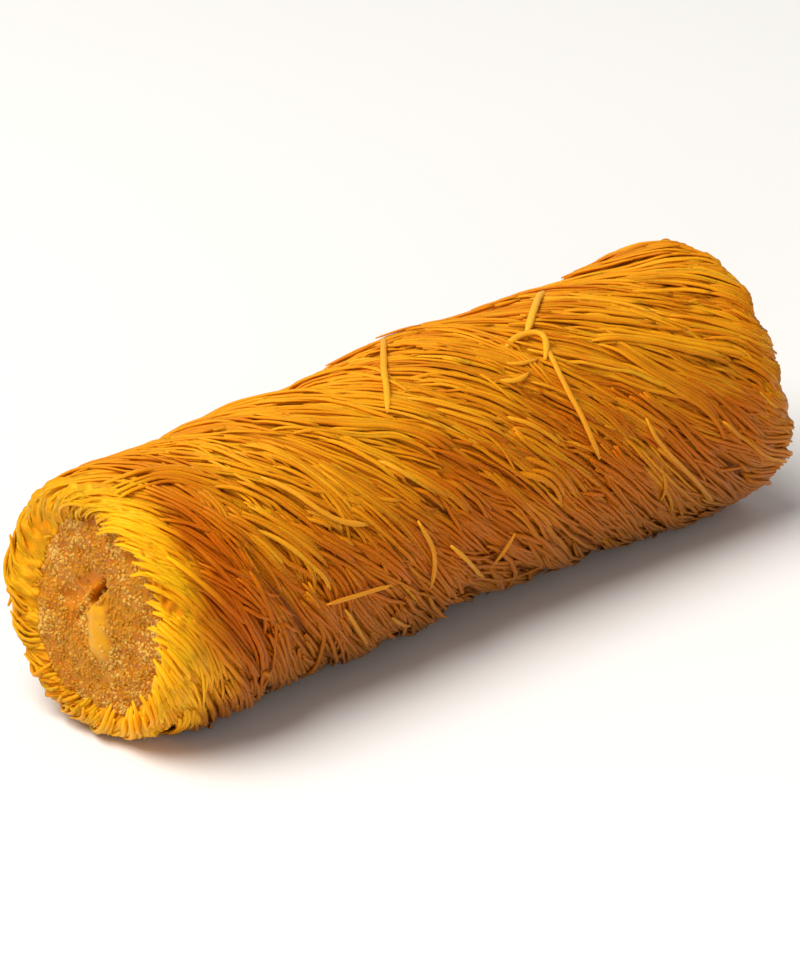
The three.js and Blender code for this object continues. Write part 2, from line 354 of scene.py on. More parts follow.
strandLook = {
    "golden": (0.79, 0.315, 0.006),
    "amber": (0.52, 0.124, 0.002),
    # pale strands: partly their own paler tone, partly a painted highlight along the crowns
    "pale": (0.88, 0.43, 0.030),
    "butter": (0.73, 0.345, 0.005),  # the lively yellow of the near end
    "honey": (0.69, 0.27, 0.004),  # its darker strands
    "litButter": (0.98, 0.445, 0.005),  # painted light: the same two lit brighter, for the side that the light catches
    "litHoney": (0.95, 0.38, 0.004),
    "orange": (0.48, 0.094, 0.001),  # the band behind it
    "deepSoakedAndShaded": (0.32, 0.068, 0.002),  # of strands that lie deep: painted shade between the strands, partly their darker syrup soaking
    "shaded": (0.25, 0.098, 0.008),  # of the underside
    # in metres, from where something starts to where it is full, then what it amounts to at both
    "paintedLightByHeight": (0.010, 0.0275, -0.78, 0.24),  # height: painted light and shade, the upper side lighter and the lower side darker
    # height: painted highlight, as the pale strands fade lower down
    "paleSheenByHeight": (0.008, 0.024, 0.4, 1.0),
    "butterReach": (-0.0304, -0.0344),  # along the roll
    "lowReach": (0.014, 0.009, 0.004, 0.0015),  # height, as the yellow reaches further low down
    "litSide": (0.001, -0.006),  # across the roll, where the painted lit yellow takes over
    "bandReach": (-0.025, -0.033, 0.0, 0.95),
    "bandSide": (0.004, -0.009),
    "farReach": (0.036, 0.044, 0.0, 1.0),
    "underside": (0.014, 0.003, 0.0, 0.75),  # height
    "drift": 0.008,  # how far patches shift where the yellow and the band start
}


def strandMaterial(name, paleness):
    paint, look = Paint(name, {**pastryGloss, "Roughness": 0.42, "Specular IOR Level": 0.26}), strandLook
    blend, rescale = paint.blend, paint.rescale
    x, y, z = paint.parts(paint.place)
    tone = paint.attribute("tone")
    patches = paint.patches(150, 3)
    broad = paint.patches(60, 1) * 0.7 - 0.35
    # painted light and shade by height join each strand's own tone here
    lightness = tone * 1.1 + patches + broad + rescale(z, *look["paintedLightByHeight"])
    colour = blend(rescale(lightness, 0.6, 1.45), look["amber"], look["golden"])
    # painted highlight: the pale strands show less lower down
    pale = rescale(tone, 0.8, 1.0, 0.0, 0.5) * rescale(z, *look["paleSheenByHeight"]) + paleness
    colour = blend(pale, colour, look["pale"])
    along = x + patches * look["drift"]
    band = rescale(along, *look["bandReach"]) * rescale(y, *look["bandSide"])
    colour = blend(band, colour, look["orange"])
    nearEnd = rescale(along + rescale(z, *look["lowReach"]), *look["butterReach"])
    farEnd = rescale(x, *look["farReach"])
    ripeness = rescale(tone, 0.1, 0.6)
    # painted light: brighter copies of the near end's yellow on the side that the light catches
    yellow = blend(rescale(y, *look["litSide"]), blend(ripeness, look["honey"], look["butter"]),
                   blend(ripeness, look["litHoney"], look["litButter"]))
    colour = blend(paint.math("MAXIMUM", nearEnd, farEnd * 0.15), colour, yellow)
    # painted shade: strands that lie deep darken, partly for their syrup soaking
    darkening = rescale(paint.attribute("depth"), 0.25, 1.0, 0.0, 0.7) * (1 - 0.8 * nearEnd)
    colour = blend(darkening, colour, look["deepSoakedAndShaded"])
    under = rescale(z, *look["underside"]) * (1 - 0.85 * paint.math("MAXIMUM", nearEnd, farEnd))
    colour = blend(under, colour, look["shaded"])
    return paint.finish(colour, paint.patches(2600, 2), 0.35, 0.00008)


bedLook = {  # the darker and the lighter colour of patches
    # painted shade: the bed's dark middle shows only in the gaps between strands, partly its syrup soaking
    "soakedAndShaded": ((0.14, 0.026, 0.001), (0.28, 0.06, 0.0015)),
    "farRing": ((0.50, 0.14, 0.003), (0.66, 0.24, 0.005)),
    "nearRing": ((0.74, 0.26, 0.003), (0.88, 0.40, 0.006)),
    "farReach": (0.0395, 0.0425),  # metres along the roll
    "nearReach": (-0.0365, -0.0395),
    "drift": 0.004,
}


def bedMaterial():
    paint = Paint("soaked inner pastry", {**pastryGloss, "Roughness": 0.5, "Specular IOR Level": 0.35})
    x = paint.parts(paint.place)[0]
    patches = paint.patches(220, 3)
    colour = paint.blend(paint.rescale(patches, 0.35, 0.65), *bedLook["soakedAndShaded"])
    lightness = paint.rescale(patches, 0.4, 0.62)
    farEnd = paint.rescale(x, *bedLook["farReach"])
    colour = paint.blend(farEnd, colour, paint.blend(lightness, *bedLook["farRing"]))
    nearEnd = paint.rescale(x + patches * bedLook["drift"], *bedLook["nearReach"])
    colour = paint.blend(nearEnd, colour, paint.blend(lightness, *bedLook["nearRing"]))
    return paint.finish(colour, paint.patches(1000, 4), 0.6, 0.0004)


nutLook = {
    "paste": (0.53, 0.185, 0.0045),
    "syrup": (0.46, 0.125, 0.0025),
    "grain": (0.55, 0.22, 0.009),
    "paleGrain": (0.74, 0.395, 0.075),
    "custard": (0.70, 0.315, 0.006),  # the smooth lump beside the crease
    "crease": (0.60, 0.18, 0.0035),
    # painted shade in the bottom of the crease
    "deep": (0.24, 0.05, 0.002),
}


def pasteMaterial():
    paint = Paint("nut paste", {**nutGloss, "Roughness": 0.45, "Subsurface Scale": 0.0008})
    fine = paint.patches(1500, 2)
    colour = paint.blend(paint.rescale(paint.patches(330, 3), 0.4, 0.62), nutLook["syrup"], nutLook["paste"])
    colour = paint.blend(paint.rescale(fine, 0.52, 0.72, 0.0, 0.8), colour, nutLook["grain"])
    for mark, look in (("inCrease", "crease"), ("onLump", "custard"), ("inCreaseShade", "deep")):
        colour = paint.blend(paint.attribute(mark), colour, nutLook[look])
    return paint.finish(colour, fine, 0.6, 0.00025)


def grainMaterial():
    paint = Paint("nut grains", {**nutGloss, "Roughness": 0.42, "Subsurface Scale": 0.0006})
    tone = paint.attribute("tone")
    colour = paint.blend(paint.rescale(tone, 0.0, 0.6), nutLook["paste"], nutLook["grain"])
    pale = paint.rescale(tone * 0.8 + paint.patches(260, 2) * 4.0, 2.25, 2.9)
    return paint.finish(paint.blend(pale, colour, nutLook["paleGrain"]), paint.patches(3000, 2), 0.4, 0.0001)


strandPaint = strandMaterial("syruped pastry strands", 0.0)
palePaint = strandMaterial("pale loose strands", 0.4)
bedPaint = bedMaterial()
pastePaint = pasteMaterial()
grainPaint = grainMaterial()
print("materials are made")

# the bed under the strands, in place of the imported pastry, which shows in the rings at the ends
bed = {
    "seed": 7, "strands": 132, "perStrand": 3, "endRows": 48, "endReach": 9.0, "middleRows": 90,
    "depth": 1.3, "ringDepth": 0.55, "ridge": 0.2, "unevenness": 0.09,
    "nearRing": (4.5, 6), "farRing": (3, 5),  # way at which a ring's depth starts to fade, and over how much
    # waves: height or degrees, number, shortest and longest
    "wander": (1.6, 8, 6, 14), "swells": (0.12, 6, 3, 9), "lumps": (0.24, 14, 1.6, 5), "farLumps": 0.5,
    "edgeDrop": 0.7, "edgeReach": 1.3,  # the inner edge is rounded
    "startReach": 5, "lowest": 0.3, "boreRadius": 10.0, "boreGap": 0.2, "boreInset": 2.6,
}


def makeBed():
    draw = np.random.default_rng(bed["seed"])
    nearRows = np.linspace(0, bed["endReach"], bed["endRows"])
    middleRows = np.linspace(bed["endReach"], wayLength - bed["endReach"], bed["middleRows"])[1:-1]
    ways = np.concatenate([nearRows, middleRows, wayLength - nearRows[::-1]])[:, None]
    columns = bed["strands"] * bed["perStrand"]
    column = np.arange(columns)[None]
    turns = wayTurn(ways) + column * 360 / columns
    turns = turns + waves(draw, ways, column * 360 / columns, bed["wander"])
    strandHeights = np.repeat(draw.normal(0, bed["unevenness"], bed["strands"]), bed["perStrand"])[None]
    height = bed["ridge"] * np.cos(2 * math.pi * column / bed["perStrand"]) + strandHeights
    height = height + waves(draw, ways, turns, bed["swells"]) - bed["depth"]
    fromEnd, isNear = np.minimum(ways, wayLength - ways), ways < wayLength / 2
    fades = [(fromEnd - start) / length for start, length in (bed["nearRing"], bed["farRing"])]
    lumps = waves(draw, ways, turns, bed["lumps"]) * np.where(isNear, 1, bed["farLumps"])
    height = height + (bed["depth"] - bed["ringDepth"] + lumps) * (1 - smooth(np.where(isNear, *fades)))
    height = height - bed["edgeDrop"] * (1 - smooth(fromEnd / bed["edgeReach"]))
    height = height + nearShift(ways, turns)
    starts = ringStart(turns, False) * (1 - smooth(ways / bed["startReach"]))
    starts = starts - ringStart(turns, True) * (1 - smooth((wayLength - ways) / bed["startReach"]))
    outer = surfaceAt(ways + starts, turns, height)[0]
    outer[..., 2] = np.maximum(outer[..., 2], bed["lowest"])
    bore = []
    for side, angle in ((1, np.radians(turns[-1])), (-1, np.radians(turns[0]))):  # back from the far face
        radius = np.minimum(bed["boreRadius"], openingReach(np.degrees(angle), side == 1) - bed["boreGap"])
        bore.append(np.stack([np.full(columns, side * (half - bed["boreInset"])), radius * np.cos(angle),
                              axisHeight + radius * np.sin(angle)], -1))
    points = np.concatenate([outer, np.array(bore)]).reshape(-1, 3)
    piece = makePiece("packed_pastry", points, gridFaces(len(ways) + 2, columns, True), material=bedPaint)
    piece.data.shade_smooth()
    tell(piece)
    return piece


packedPastry = makeBed()

# locks of strands: a guide line for each lock, which a tree fills with strands side by side
plainLock = {"strands": 1, "spread": 0.0, "aslant": 0, "bend": 0, "fray": 0.0, "rise": 0.0, "crown": 0,
             "lockWidth": 1.0, "firstWay": -0.6, "lastWay": wayLength + 0.6, "step": 1.0}
lockUnits = {"spread": mm, "rise": mm, "fray": 1.0, "lockTone": 1.0, "lockWidth": 1.0, "lockHeight": mm}


def guidePath(lock):
    way, turn, gone, path = lock["way"], lock["turn"], 0.0, []
    while gone <= lock["length"] and lock["firstWay"] <= way <= lock["lastWay"]:
        path.append((way, turn))
        slope = math.radians(float(between(rollForm["slope"], way)) + lock["aslant"] + lock["bend"] * gone)
        way += lock["step"] * math.cos(slope)
        turn += math.degrees(lock["step"] * math.sin(slope) / middleRadius)
        gone += lock["step"]
    return np.array(path)


def makeGuides(name, locks):
    points, edges = [], []
    told = {key: [] for key in ("strands", "outward", "unwound", *lockUnits)}
    for lock in locks:
        lock = {**plainLock, **lock, "lockHeight": float(np.mean(lock["height"]))}
        path = lock["path"] if "path" in lock else guidePath(lock)
        if len(path) < 3:
            continue
        ways, turns = path.T
        height = lock["height"] + lock["crown"] * np.sin(np.linspace(0, math.pi, len(path)))
        place, out = surfaceAt(ways, turns, height + nearShift(ways, turns))
        first = len(points)
        points.extend(place)
        edges.extend((first + n, first + n + 1) for n in range(len(path) - 1))
        told["strands"].extend([lock["strands"]] * len(path))
        told["outward"].extend(out)
        told["unwound"].extend(np.stack([ways * mm, np.radians(turns - wayTurn(ways)), 0 * ways], -1))
        for key, unit in lockUnits.items():
            told[key].extend([lock[key] * unit] * len(path))
    guides = makePiece(name, points, edges=edges)
    for key, values in told.items():
        setPointValues(guides, key, values)
    return guides


windValues = {
    "Seed": 11,
    "Strand width": 0.45 * mm,
    "Thinnest": 0.76,  # against the strand width
    "Thickest": 1.2,
    "Segment": 1.15 * mm,
    "Sides": 5,
    "Thickness": 0.78,  # of the section, against the strand's width
    "Breadth": 1.14,
    "Least girth": 0.82,  # along a strand
    "Girth waves": 0.36,
    "Tip length": 1.2 * mm,
    "Tip width": 0.5,
    "Pale tips": 0.06,
    "Pale length": 2.2 * mm,
    "Strand tones": 0.55,  # share of each strand's own tone
    "Lock tones": 0.45,
    "Jitter": 0.7,  # how unevenly the strands of a lock are spaced
    "Drift": 0.02,  # how far a strand turns out of its lock's line
    "Unevenness": 0.16 * mm,  # strands lying higher and lower
    "Gathering": 1.7 * mm,  # neighbours drawn together and apart
    "Ruffle": 0.7 * mm,
    "Wander": 0.9 * mm,  # a strand's own waves
    "Swelling": 0.9 * mm,
    "Hop": 0.5 * mm,
    "Rise length": 3.5 * mm,  # over which the ends of a lock rise or dive
    "Highest": 0.05 * mm,  # over the form's crowns
    "Lowest": -1.2 * mm,  # which keeps the strands over the bed
    "Furrows": 1.0,
    "Roundness": 0.15 * mm,  # how far the sides of a lock lie lower than its middle
    "Darkening": 1.0,  # painted shade on what lies deep
    "Dark from": -0.55 * mm,
    "Darkest at": -1.75 * mm,
    "Uneven ends": 0.05,
    "Material": strandPaint,
}
# waves to the metre along, and how fast they change round the roll
windNoise = {"gather": (38, 4), "ruffle": (110, 8), "swell": (30, 3.6), "wander": 170, "hop": 150, "girth": 330}

furrows = {
    "lines": [  # from one place to another, [mm along, degrees round], then half width and depth in mm
        ((-39.6, 136), (-36, 173), 1.0, 0.9), ((-36.3, 125), (-33.5, 146), 0.5, 1.0),
        ((-32.3, 133), (-27, 159), 0.6, 1.2), ((-32.4, 168), (-29.3, 199), 0.6, 0.9),
        ((-26.7, 165), (-25.1, 181), 0.5, 0.9), ((-24.8, 127), (-21.6, 146), 0.6, 1.2),
        ((-22.1, 152), (-18.9, 158), 0.5, 1.0), ((-16.1, 133), (-14.3, 139), 0.45, 1.1),
        ((-15.2, 213), (-11.3, 235), 0.8, 1.0), ((-14.5, 173), (-9.6, 199), 0.7, 0.9),
        ((-13.4, 119), (-8.4, 136), 0.5, 1.1), ((-10.2, 145), (-8.9, 150), 0.4, 0.8),
        ((-9.4, 157), (-6, 167), 0.6, 1.3), ((-7.8, 140), (-6, 142), 0.5, 1.2),
        ((-6.2, 147), (-4.3, 148), 0.45, 1.3), ((-2.6, 97), (5.2, 140), 0.6, 1.1),
        ((1.7, 157), (4.3, 168), 0.4, 0.8), ((3.1, 145), (4.6, 148), 0.4, 0.8),
        ((7.2, 117), (9.8, 120), 0.5, 1.4), ((8.3, 127), (12.4, 142), 1.2, 1.0),
        ((10.4, 149), (14.4, 175), 0.6, 1.0), ((11.3, 109), (13.1, 115), 0.5, 1.4),
        ((16.3, 120), (20.5, 141), 0.7, 1.3), ((19.1, 132), (21.3, 144), 0.5, 1.0),
        ((27.1, 136), (29.7, 147), 0.6, 1.4), ((30.1, 141), (38.4, 155), 0.9, 1.0),
        ((30.2, 112), (39.9, 134), 1.0, 0.6), ((33.2, 163), (36.1, 183), 0.6, 1.2),
    ],
    "parting": 1.3, "widest": 0.45,  # how far strands beside one give way, against its half width up to this one
    "tail": (0.3, 0.65),  # from its middle, against its length, where it fades out
}


def furrowFields(tree, way, sine, cosine):  # how far strands sink and part by the listed furrows
    sink, parting = 0.0, 0.0
    for first, last, width, depth in furrows["lines"]:
        ways = [wayAlong(place[0]) for place in (first, last)]
        angles = [math.radians(place[1] - wayTurn(placeWay)) for place, placeWay in zip((first, last), ways)]
        share = (way / mm - ways[0]) / (ways[1] - ways[0])
        middle = share * (angles[1] - angles[0]) + angles[0]
        middleSine, middleCosine = tree.math("SINE", middle), tree.math("COSINE", middle)
        beside = (sine * middleCosine - cosine * middleSine) * (middleRadius / width)
        apart = (1 - (sine * middleSine + cosine * middleCosine)) * (2 * (middleRadius / width) ** 2)
        bell = tree.rescale(tree.math("ABSOLUTE", share - 0.5), *furrows["tail"], 1.0, 0.0) / (1 + apart) ** 2
        sink = bell * (depth * mm) + sink
        parting = beside * bell * (min(width, furrows["widest"]) * furrows["parting"] * mm) + parting
    return sink, parting


def strandsAlongGuides(name, values):
    tree = GeometryTree(name, values)
    given, read, random, store, vector = tree.given, tree.read, tree.random, tree.store, tree.vector
    guides = tree.add("GeometryNodeMeshToCurve", {}, {0: given("Geometry")})
    strands = tree.add("GeometryNodeDuplicateElements", {"domain": "SPLINE"},
                       {"Geometry": guides, "Amount": read("strands", "INT")})
    copyIndex = Wire(tree, tree.find(strands.socket.node.outputs, "Duplicate Index"))
    count = read("strands", "INT")
    place = (copyIndex + 0.5) / count - 0.5 + random(-0.5, 0.5, 1) * given("Jitter") / count
    perStrand = {
        "place": place,
        "side": place * read("spread"),
        "lift": random(-1.0, 1.0, 2) * given("Unevenness"),
        "strandTone": random(0.0, 1.0, 3),
        "strandShift": random(0.0, 80.0, 4),
        "strandWidth": random(given("Thinnest"), given("Thickest"), 5) * given("Strand width") * read("lockWidth"),
        "strandDrift": random(-1.0, 1.0, 8) * given("Drift"),
        "strandNumber": tree.add("GeometryNodeInputIndex"),
    }
    for label, value in perStrand.items():
        strands = store(strands, label, value, "CURVE")
    strands = tree.add("GeometryNodeTrimCurve", {"mode": "FACTOR"}, {
        "Curve": strands, "Start": random(0.0, 1.0, 6) ** 2 * given("Uneven ends"),
        "End": 1 - random(0.0, 1.0, 7) ** 2 * given("Uneven ends")})
    strands = tree.add("GeometryNodeResampleCurve", {"mode": "LENGTH"},
                       {"Curve": strands, "Length": given("Segment")})
    strands = store(strands, "alongStrand", tree.add("GeometryNodeSplineParameter", {}, {}, "Factor"))
    length = tree.add("GeometryNodeSplineLength", {}, {}, "Length")
    strands = store(strands, "gone", (read("alongStrand") - 0.5) * length)
    strands = store(strands, "fromEnd", (0.5 - tree.math("ABSOLUTE", read("alongStrand") - 0.5)) * length)

    outward = vector("NORMALIZE", read("outward", "FLOAT_VECTOR"))
    sideways = vector("NORMALIZE", vector("CROSS_PRODUCT", tree.add("GeometryNodeInputTangent"), outward))
    gone, fromEnd = read("gone"), read("fromEnd")
    way, angle, _ = tree.parts(read("unwound", "FLOAT_VECTOR"))
    angle = angle + read("side") / (middleRadius * mm)
    sine, cosine = tree.math("SINE", angle), tree.math("COSINE", angle)

    def lockNoise(label, start=0, detail=1.0):  # the same for neighbours, in locks that are long and narrow
        along, around = windNoise[label]
        where = tree.pack(way * along + start, sine * around, cosine * around)
        return tree.noise(where, 1.0, detail) - 0.5

    def strandNoise(label, start, detail=1.0):  # each strand's own
        return tree.noise(tree.pack(gone * windNoise[label], read("strandShift"), start), 1.0, detail)

    sink, parting = furrowFields(tree, way, sine, cosine)
    fromMiddle = tree.math("ABSOLUTE", read("alongStrand") * 2 - 1)
    sideShift = read("side") * (1 + read("fray") * fromMiddle ** 3) + read("strandDrift") * gone
    sideShift = sideShift + lockNoise("gather") * given("Gathering") + lockNoise("ruffle") * given("Ruffle")
    sideShift = sideShift + (strandNoise("wander", 3.0, 2.0) - 0.5) * given("Wander") + parting * given("Furrows")
    lift = read("lift") + lockNoise("swell", 20, 2.0) * given("Swelling")
    lift = lift + (strandNoise("hop", 30.0) - 0.5) * given("Hop")
    lift = lift + tree.rescale(fromEnd, 0.0, given("Rise length"), 1.0, 0.0) ** 2 * read("rise")
    lift = lift - sink * given("Furrows")
    lift = lift - (read("place") * 2) ** 2 * given("Roundness")
    lift = tree.math("MAXIMUM", lift, given("Lowest") - read("lockHeight"))
    lift = tree.math("MINIMUM", lift, given("Highest") - read("lockHeight"))
    place = tree.add("GeometryNodeInputPosition")
    beside = vector("ADD", place, vector("SCALE", sideways, sideShift))
    # a strand beside its guide stays on the round of the roll
    fromAxis = [vector("LENGTH", vector("MULTIPLY", vector("SUBTRACT", point, (0, 0, axisHeight * mm)), (0, 1, 1)))
                for point in (place, beside)]
    roundDrop = (fromAxis[0] - fromAxis[1]) * vector("LENGTH", vector("MULTIPLY", outward, (0, 1, 1)))
    # and one beside a guide over a rim stays on the rim's curve
    overRim = tree.parts(outward)[0] ** 2
    aslant = tree.parts(sideways)[0] * sideShift
    rimDrop = aslant ** 2 * overRim * (1 - overRim) * (2 / (rimDepth * mm))
    x, y, z = tree.parts(vector("ADD", beside, vector("SCALE", outward, lift + roundDrop - rimDrop)))
    z = tree.math("MAXIMUM", z, read("strandWidth") * 0.5)  # it lies on the table, not in it
    # how deep a strand lies, which the strand material turns into painted shade
    depth = tree.rescale(lift + read("lockHeight"), given("Dark from"), given("Darkest at"))
    strands = store(strands, "depth", depth * given("Darkening"))
    strands = tree.add("GeometryNodeSetPosition", {}, {"Geometry": strands, "Position": tree.pack(x, y, z)})
    strands = tree.add("GeometryNodeSetCurveNormal", {"mode": "FREE"}, {"Curve": strands, "Normal": outward})
    taper = tree.rescale(fromEnd, 0.0, given("Tip length"), given("Tip width"), 1.0)
    taper = taper * (given("Least girth") + given("Girth waves") * strandNoise("girth", 60.0))
    ring = tree.add("GeometryNodeCurvePrimitiveCircle", {}, {"Resolution": given("Sides"), "Radius": 1.0})
    ring = tree.add("GeometryNodeTransform", {}, {
        "Geometry": ring, "Scale": tree.pack(given("Thickness"), given("Breadth"), 1.0)})
    tone = read("strandTone") * given("Strand tones") + read("lockTone") * given("Lock tones")
    tone = tone + tree.rescale(fromEnd, 0.0, given("Pale length"), 1.0, 0.0) * given("Pale tips")
    tubes = tree.add("GeometryNodeCurveToMesh", {}, {
        "Curve": store(strands, "tone", tone), "Profile Curve": ring, "Scale": read("strandWidth") * 0.5 * taper,
        "Fill Caps": True})
    tree.finish(tubes, given("Material"))
    return tree


# each strand gets a cell of its own on the piece's map
mapCell = {
    "lengthToRound": 6.0, "edge": 0.03, "foot": 0.08, "height": 0.84, "capWidth": 0.4, "capHeight": 0.3,
    "kept": ("tone", "depth", "sharp_face", "material_index", "OFBake"),
}


def unrollStrands(piece, sides):
    mesh, edge = piece.data, mapCell["edge"]
    number = readAll(mesh.attributes["strandNumber"].data, "value", float)
    starts = np.concatenate([[0], np.nonzero(np.diff(number))[0] + 1, [len(number)]])
    count = len(starts) - 1
    strand = np.repeat(np.arange(count), np.diff(starts))
    within = np.arange(len(number)) - starts[strand]
    rings = np.diff(starts)[strand] // sides
    perRow = max(1, round(math.sqrt(count / mapCell["lengthToRound"])))
    rows = math.ceil(count / perRow)
    corner = readAll(mesh.loops, "vertex_index")
    faceStart = readAll(mesh.polygons, "loop_start")
    face = np.repeat(np.arange(len(faceStart)), readAll(mesh.polygons, "loop_total"))
    ring, side = (within // sides)[corner].astype(float), (within % sides)[corner].astype(float)
    ringSpan, sideSpan = [(np.maximum.reduceat(values, faceStart) - np.minimum.reduceat(values, faceStart))[face]
                          for values in (ring, side)]
    isCap = ringSpan == 0
    side = np.where((sideSpan > 1.5) & (side == 0) & ~isCap, sides, side)
    inCellU = edge + (1 - 2 * edge) * ring / np.maximum(rings[corner] - 1, 1)
    inCellV = mapCell["foot"] + mapCell["height"] * side / sides
    angle = 2 * math.pi * side / sides
    capMiddle = np.where(ring == 0, edge / 2, 1 - edge / 2)
    inCellU = np.where(isCap, capMiddle + edge * mapCell["capWidth"] * np.cos(angle), inCellU)
    inCellV = np.where(isCap, 0.5 + mapCell["capHeight"] * np.sin(angle), inCellV)
    own = strand[corner]
    uv = np.stack([(own % perRow + inCellU) / perRow, (own // perRow + inCellV) / rows], -1)
    mesh.uv_layers.new(name="OFBake").uv.foreach_set("vector", uv.astype(np.float32).ravel())
    for label in [a.name for a in mesh.attributes
                  if a.name not in mapCell["kept"] and not a.is_internal and not a.is_required]:
        mesh.attributes.remove(mesh.attributes[label])


strandTree = strandsAlongGuides("strands_along_guides", windValues)


def windStrands(name, locks, changes):
    piece = makeGuides(name, locks)
    strandTree.run(piece, changes)
    unrollStrands(piece, {**windValues, **changes}["Sides"])
    tell(piece, f" {len(locks)} locks,")
    return piece


# two layers of long strands that wind round the whole roll
layers = {
    "locks": 24, "length": 400, "aslant": 0.8,
    "girth": 94,  # mm round the roll that the locks of a layer share out
    "early": (3, 7), "late": (9, 30), "short": (2, 6),  # ways at which they start, and end before the far edge
    "lower": {"seed": 1, "height": -1.1, "shift": 0.0, "strands": 192, "lateShare": 0.0, "cover": 0.92},
    "upper": {"seed": 2, "height": -0.85, "shift": 0.5, "strands": 144, "lateShare": 0.4, "cover": 0.75},
}


def layerLocks(layer):
    draw, count = np.random.default_rng(layer["seed"]), layers["locks"]
    locks = []
    for number in range(count):
        isEarly = draw.random() > layer["lateShare"]
        start = draw.uniform(*layers["early" if isEarly else "late"])
        locks.append({
            "way": start, "length": layers["length"], "strands": round(layer["strands"] / count),
            "height": layer["height"], "lastWay": wayLength - draw.uniform(*layers["short"]),
            "turn": float(wayTurn(start)) + (number + layer["shift"]) * 360 / count,
            "spread": layers["girth"] / count * layer["cover"],
            "lockTone": draw.random(), "aslant": draw.normal(0, layers["aslant"]),
        })
    return locks


lowerStrands = windStrands("lower_strands", layerLocks(layers["lower"]), {
    "Segment": 1.5 * mm, "Furrows": 0.35, "Gathering": 1.0 * mm, "Strand width": 0.5 * mm})
upperStrands = windStrands("upper_strands", layerLocks(layers["upper"]), {"Seed": 23})


def drawn(draw, ranges):  # a lock's values, each by its kind of draw, in the order given
    lock = {label: getattr(draw, kind)(*numbers) for label, (kind, *numbers) in ranges.items()}
    if "strands" in lock:
        lock["strands"] = int(lock["strands"])
        lock["spread"] = lock["strands"] * lock["spread"]
    return lock


# shorter locks that lie over the layers, and single strands that lie about more freely
overlay = {
    "start": 2.5, "short": 16, "turnStart": 0.1, "crown": 0.12,
    "ranges": {"strands": ("integers", 4, 10), "length": ("uniform", 12, 36), "spread": ("uniform", 0.34, 0.48),
               "height": ("uniform", -0.12, 0.12), "aslant": ("normal", 0, 5), "bend": ("normal", 0, 0.35),
               "fray": ("uniform", 0.0, 0.9), "rise": ("choice", [-1.0, -0.7, -0.4, 0.15]),
               "lockTone": ("random",)},
    "wind": {"Uneven ends": 0.35, "Roundness": 0.3 * mm},
}
stray = {
    "start": 3, "short": 10, "turnStart": 0.5, "crown": 0.08,
    "ranges": {"length": ("uniform", 4, 16), "height": ("uniform", -0.6, -0.3), "aslant": ("normal", 0, 9),
               "bend": ("normal", 0, 1.8), "rise": ("uniform", -0.8, 0.1), "lockTone": ("random",)},
}
goldenSteps = (0.618034, 0.7548777)  # along and round, which keep neighbours apart


def strewnLocks(kind, seed, number, first=0, height=0, changes={}):
    draw = np.random.default_rng(seed)
    locks = []
    for place in range(first, first + number):
        lock = drawn(draw, {**kind["ranges"], **changes})
        along = place * goldenSteps[0] % 1.0
        locks.append({
            **lock, "way": kind["start"] + along * (wayLength - kind["short"]), "crown": kind["crown"],
            "turn": 360 * ((place * goldenSteps[1] + kind["turnStart"]) % 1.0), "height": height + lock["height"],
        })
    return locks


overlayStrands = windStrands("overlay_strands", strewnLocks(overlay, 3, 120, 3, -0.6), {**overlay["wind"], "Seed": 37})
outerStrands = windStrands("outer_strands", strewnLocks(overlay, 13, 120, 13, -0.45, {
    "strands": ("integers", 4, 9), "length": ("uniform", 10, 32)}), {**overlay["wind"], "Seed": 39})
topStrands = windStrands("top_strands", strewnLocks(overlay, 4, 90, 4, -0.3, {
    "strands": ("integers", 2, 6), "length": ("uniform", 8, 24), "aslant": ("normal", 0, 8)}), {
    "Seed": 47, "Uneven ends": 0.45, "Roundness": 0.25 * mm})

# the locks that stand out most on the side shown
shown = {
    "points": 16,
    "every": {"height": -0.12, "crown": 0.1, "rise": -0.7, "fray": 0.5, "lockWidth": 1.15},
    "locks": [  # strands, width of the lock in mm, tone, then its places [mm along, degrees round]
        (4, 1.4, 0.4, [(-43.6, 104), (-41.9, 115), (-39.4, 130)]),
        (7, 2.6, 0.6, [(-42.4, 93), (-35.1, 103), (-30.1, 122)]),
        (5, 1.6, 0.5, [(-36.4, 120), (-34.9, 135), (-32.1, 149)]),
        (3, 1.2, 0.6, [(-34.1, 149), (-34, 157), (-32.3, 183)]),
        (2, 0.9, 1.0, [(-32.7, 111), (-27.4, 132), (-26, 145)]),
        (6, 2.2, 0.9, [(-31.5, 128), (-26.8, 150), (-22, 174)]),
        (5, 2.2, 0.8, [(-27, 139), (-24.3, 152), (-16.9, 178)]),
        (2, 0.8, 0.9, [(-26.9, 152), (-25.1, 175)]),
        (3, 1.2, 0.9, [(-24.9, 138), (-22.1, 148), (-18.8, 164)]),
        (2, 0.9, 0.9, [(-22.6, 186), (-19.2, 205)]),
        (7, 2.4, 0.8, [(-20.7, 91), (-12.5, 116), (-8.2, 121), (-3, 144)]),
        (1, 0.0, 1.0, [(-13.7, 173), (-13.1, 187)]),
        (3, 1.3, 0.8, [(-12.6, 131), (-10.5, 142), (-5.8, 161)]),
        (5, 2.0, 0.8, [(-5.5, 109), (-1, 125), (4.9, 144)]),
        (4, 1.8, 0.8, [(3.9, 155), (8, 165), (11.3, 183)]),
        (4, 1.8, 0.8, [(4.5, 135), (8.8, 150), (11.4, 161)]),
        (5, 2.0, 0.8, [(19.6, 94), (26.1, 113), (30.2, 121)]),
        (5, 2.2, 0.9, [(21.3, 114), (30.3, 135), (39.4, 156)]),
        (5, 2.2, 0.9, [(21.9, 118), (25.2, 140), (31.6, 163), (35.3, 186)]),
        (1, 0.0, 1.0, [(23.2, 171), (27.9, 189), (34.6, 218)]),
        (1, 0.0, 0.9, [(24, 179), (25, 203)]),
        (2, 0.8, 1.0, [(26.8, 100), (29.7, 101)]),
    ],
}


